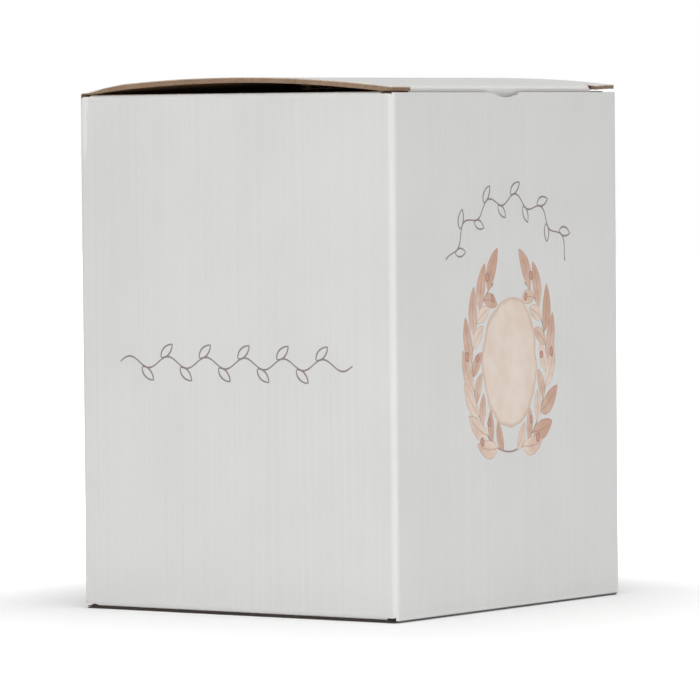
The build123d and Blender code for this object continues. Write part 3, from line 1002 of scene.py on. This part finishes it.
# %% Sagging liners
CUTS_TO_A_SAG = 4
OUTER_SAG = 0.032 * MM
INNER_SAG = 0.03 * MM
SETTLING = ("lid_panel", "back_panel")
PRINTS = {"front_panel": front_paper, "left_panel": side_paper}
PRINTED_ABOVE = 0.5
EDGE_BELOW = 0.8


def sag(shape, outward, spacing, crest, across, outer):
    """Sinks a liner between the crests that it is glued to, but not at the two ends of its panel."""
    depth = -OUTER_SAG if outer else INNER_SAG
    for vertex in shape.verts:
        place = vertex.co.dot(spacing)
        share = from_crest(place, crest)
        share = share if outer else 1 - share
        from_end = min(place - across[0], across[1] - place) / FLUTE_PITCH
        fade = max(0.0, min(1.0, from_end))
        vertex.co += outward * depth * fade * (1 - math.cos(math.pi * share)) / 2


def sagging_liner(panel, ply):
    """A liner that sinks towards the medium between the crests, and is settled or sprung with its panel."""
    outward, spacing = PANELS[panel]
    node = panel + "_" + ply
    outer = ply == "outer_liner"
    crest, across, _ = measured_flutes(panel + "_flutes", outward, spacing)
    shape = merged_copy(node)
    cut_across(shape, spacing, flute_places(*across, crest, CUTS_TO_A_SAG))
    if panel == "lid_panel":
        cut_across(shape, Y_AXIS, LID_CUTS)
    sag(shape, outward, spacing, crest, across, outer)
    if node == "lid_panel_inner_liner":
        move_points(shape, closed_edge)
    if panel in SETTLING:
        move_points(shape, settled)
    if panel == SPRUNG_PANEL:
        cut_across(shape, X_AXIS, FLAP_CUTS)
        move_points(shape, sprung)
    shape.normal_update()
    if outer:
        finishes = [cut_coated, PRINTS.get(panel, paper)]
        return kept_piece(
            shape, panel + "_printed_sheet", node, finishes,
            lambda face: face.normal.dot(outward) > PRINTED_ABOVE,
        )
    return kept_piece(
        shape, panel + "_inner_sheet", node, [inner_kraft, cut_kraft],
        lambda face: abs(face.normal.dot(outward)) < EDGE_BELOW,
    )


for panel in PANELS:
    for ply in ("outer_liner", "inner_liner"):
        sheet = sagging_liner(panel, ply)
        print(sheet.name, len(sheet.data.polygons), "faces")

# %% [markdown]
# ## Paper across the creases
# The imported panels are cut free where they fold, with a gap as fine as a hair. On the real blank the paper
# runs through. A narrow strip is spun around each crease roll, so that paper runs across the gap. It is
# printed on its outer side and brown on its inner side.

# %% Crease strips
STRIP_HALF_ANGLE = math.radians(15)
STRIP_STEPS = 8
STRIP_PROUD = 0.01 * MM
STRIP_THICKNESS = 0.1 * MM


def crease_strip(name, centre, middle, run, ends):
    """A strip around a roll, from the first body to the second.

    Middle is the outward normal halfway around, and run is the direction in which a right-handed turn leads
    from the first body to the second. Ends are the strip's two ends along the run.
    """
    shape = bmesh.new()
    middle = middle.normalized()
    outer = centre + middle * (CREASE_RADIUS + STRIP_PROUD)
    inner = outer - middle * STRIP_THICKNESS
    places = ((outer, ends[0]), (outer, ends[1]), (inner, ends[1]), (inner, ends[0]))
    corners = [shape.verts.new(point + run * end) for point, end in places]
    face = shape.faces.new(corners)
    spin_closed(shape, corners + face.edges[:] + [face], centre, run, 2 * STRIP_HALF_ANGLE, STRIP_STEPS)
    if name == "lid_hinge_paper":
        move_points(shape, settled)
    for face in shape.faces:
        face.material_index = int(face.normal.dot(face.calc_center_median() - centre) < 0)
    piece = meshed(shape, name, [paper, inner_kraft])
    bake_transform(piece)
    print(name, "runs for", round((ends[1] - ends[0]) / MM, 1), "mm")


# %% [markdown]
# The lid and the base are hinged along X. A roll's normal halfway around is the bisector of the two faces
# that it joins, and at the tucks that follows from the bow and from the lean of the tuck. The base is the
# lid's end turned over, so a half turn finds its places.

# %% Strips of the lid and the base
HINGE_HALF_LENGTH = 45.6 * MM
TUCK_HALF_LENGTH = 37.9 * MM
UPWARD = math.pi / 2
FORWARD = math.pi
hinge_ends = (-HINGE_HALF_LENGTH, HINGE_HALF_LENGTH)
tuck_ends = (-TUCK_HALF_LENGTH, TUCK_HALF_LENGTH)
base_turn = Matrix.Rotation(math.pi, 3, "X")
lid_hinge_roll = Vector((0, HINGE_Y, LID_TOP - CREASE_RADIUS))
front_roll = Vector((0, FRONT_ROLL_Y, LID_TOP - CREASE_RADIUS))


def at_base(place):
    """A place at the lid's end, turned over to the base's end."""
    return base_turn @ place + UP * LID_TOP


def bisector(first, second):
    """The direction halfway between two angles, from +Y towards +Z."""
    middle = (first + second) / 2
    return Vector((0, math.cos(middle), math.sin(middle)))


lid_front = bisector(UPWARD + bow_angle / 2, FORWARD + TUCK_LEAN)
base_front = base_turn @ bisector(UPWARD, FORWARD + TUCK_LEAN)
hinge_normal = Y_AXIS + UP
crease_strip("lid_hinge_paper", lid_hinge_roll, hinge_normal, X_AXIS, hinge_ends)
crease_strip("lid_tuck_paper", front_roll, lid_front, X_AXIS, tuck_ends)
crease_strip("base_hinge_paper", at_base(lid_hinge_roll), -hinge_normal, X_AXIS, hinge_ends)
crease_strip("base_tuck_paper", at_base(front_roll), base_front, X_AXIS, tuck_ends)

# %% [markdown]
# The dust flaps are hinged along Y, at the heads and the feet of the side walls. A loop makes the four
# strips: the run turns around from side to side, and from end to end, so that it always leads from wall to
# flap.

# %% Strips of the dust flaps
FLAP_FRONT_Y = -41.0 * MM
FLAP_BACK_Y = 41.5 * MM

for side, x_sign in (("left", -1), ("right", 1)):
    for end, z_sign in (("top", 1), ("bottom", -1)):
        level = SIDE_HEIGHT - CREASE_RADIUS if end == "top" else SIDE_FOOT + CREASE_RADIUS
        centre = Vector((x_sign * (CARTON_WIDTH / 2 - CREASE_RADIUS), 0, level))
        run = Y_AXIS * -x_sign * z_sign
        flap = (FLAP_FRONT_Y * z_sign, FLAP_BACK_Y * z_sign)
        ends = sorted(place * run.y for place in flap)
        crease_strip(f"{end}_{side}_flap_paper", centre, X_AXIS * x_sign + UP * z_sign, run, ends)

# %% [markdown]
# ## The studio
# The photograph was taken on a white sweep. The floor is plain pale paper. Close to the carton it shows the
# carton's soft shadow. Away from it a faint glow, which only the camera sees, turns the floor as white as the
# backdrop, so that no horizon shows. More light would do that too, but it would wash out the carton. The
# glow's middle lies a little towards the camera, where the shadow reaches further.

# %% The floor
FLOOR_SIZE = 6.0
FLOOR_PALE = 0.95
FLOOR_BOUNCE = 0.98
GLOW = 1.0
GLOW_MIDDLE = (-22.0, -15.0)
GLOW_START = 60.0
GLOW_END = 260.0
floor_mesh = bpy.data.meshes.new("floor")
floor_shape = bmesh.new()
bmesh.ops.create_grid(floor_shape, x_segments=1, y_segments=1, size=FLOOR_SIZE / 2)
floor_shape.to_mesh(floor_mesh)
floor_shape.free()
floor = bpy.data.objects.new("floor", floor_mesh)
bpy.context.scene.collection.objects.link(floor)

floor_finish = Finish("sweep", Roughness=0.9, Specular_IOR_Level=0.1)
_, x, y, _ = floor_finish.millimetres()
east, north = x - GLOW_MIDDLE[0], y - GLOW_MIDDLE[1]
seen = floor_finish.add("ShaderNodeLightPath", out="Is Camera Ray")
far = ((east * east + north * north) ** 0.5).rise(GLOW_START, GLOW_END)
glow = floor_finish.mix(seen * far, (0.0, 0.0, 0.0, 1), (GLOW, GLOW, GLOW, 1))
floor_finish.set_inputs(floor_finish.shader, {"Emission Color": glow, "Emission Strength": 1.0})
pale = floor_finish.mix(seen, (FLOOR_BOUNCE,) * 3 + (1,), (FLOOR_PALE,) * 3 + (1,))
floor_mesh.materials.append(floor_finish.finish(pale))

# %% [markdown]
# The room around the carton is the world. The camera sees it as pure white, and it lights the carton only
# faintly, so that the softboxes shape the light. A Light Path node tells the two apart.

# %% The world
AROUND = 0.17
WHITE = (1, 1, 1, 1)
world = bpy.data.worlds.new("studio")
bpy.context.scene.world = world
world.use_nodes = True
tree = world.node_tree
background = tree.nodes["Background"]
light_path = tree.nodes.new("ShaderNodeLightPath")
strength = tree.nodes.new("ShaderNodeMapRange")
strength.inputs["To Min"].default_value = AROUND
strength.inputs["To Max"].default_value = 1.0
background.inputs["Color"].default_value = WHITE
tree.links.new(light_path.outputs["Is Camera Ray"], strength.inputs["Value"])
tree.links.new(strength.outputs["Result"], background.inputs["Strength"])
print("the world lights the carton at", AROUND)


# %% [markdown]
# Softboxes are area lights that look at the carton. Each is given by where it stands, its size and its power.
# Two large ones hang above the carton and make the lid paler than the walls. One stands beside the camera,
# and one faces each of the two sides that the camera sees. Large lamps give soft shadows, as in the
# photograph. Point lamps would make them hard.

# %% Softboxes
SOFTBOXES = (
    ("softbox_overhead", (0.0, 0.0, 1.3), 1.0, 11.3),
    ("softbox_overhead_before", (-0.35, -0.28, 1.2), 0.8, 3.6),
    ("softbox_beside_camera", (-1.05, -0.75, 0.19), 0.35, 3.7),
    ("softbox_left", (-1.0, 0.15, 0.16), 0.3, 1.35),
    ("softbox_right", (0.15, -1.0, 0.16), 0.3, 1.45),
)


def softbox(name, place, size, power):
    """A square area light that looks at the middle of the carton."""
    light = bpy.data.lights.new(name, "AREA")
    light.shape = "SQUARE"
    light.size = size
    light.energy = power
    lamp = bpy.data.objects.new(name, light)
    lamp.location = place
    to_carton = Vector((0, 0, LID_TOP / 2)) - Vector(place)
    lamp.rotation_euler = to_carton.to_track_quat("-Z", "Y").to_euler()
    bpy.context.scene.collection.objects.link(lamp)


for lamp_values in SOFTBOXES:
    softbox(*lamp_values)
print(len(bpy.data.lights), "softboxes")

# %% [markdown]
# ## The camera
# The camera stands well over a metre away with a long lens, a little below the lid, and looks at the left
# corner of the front. Its place and lens were worked out from the corners of the carton in the photograph.

# %% Camera
CAMERA_PLACE = (-1.1260, -0.7903, 0.11306)
CAMERA_YAW = math.radians(35.088)
CAMERA_DOWN = math.radians(2.234)
CAMERA_ROLL = math.radians(-0.516)
CAMERA_LENS = 299.98
SENSOR_WIDTH = 36
RIGHT_ANGLE = math.pi / 2
camera_data = bpy.data.cameras.new("camera")
camera_data.lens = CAMERA_LENS
camera_data.sensor_width = SENSOR_WIDTH
camera = bpy.data.objects.new("camera", camera_data)
heading = Matrix.Rotation(CAMERA_YAW - RIGHT_ANGLE, 4, "Z")
tilt = Matrix.Rotation(RIGHT_ANGLE - CAMERA_DOWN, 4, "X")
roll = Matrix.Rotation(CAMERA_ROLL, 4, "Z")
camera.matrix_world = Matrix.Translation(CAMERA_PLACE) @ heading @ tilt @ roll
bpy.context.scene.collection.objects.link(camera)
bpy.context.scene.camera = camera
bpy.context.scene.view_settings.view_transform = "Standard"
print("camera lens", camera_data.lens, "mm")
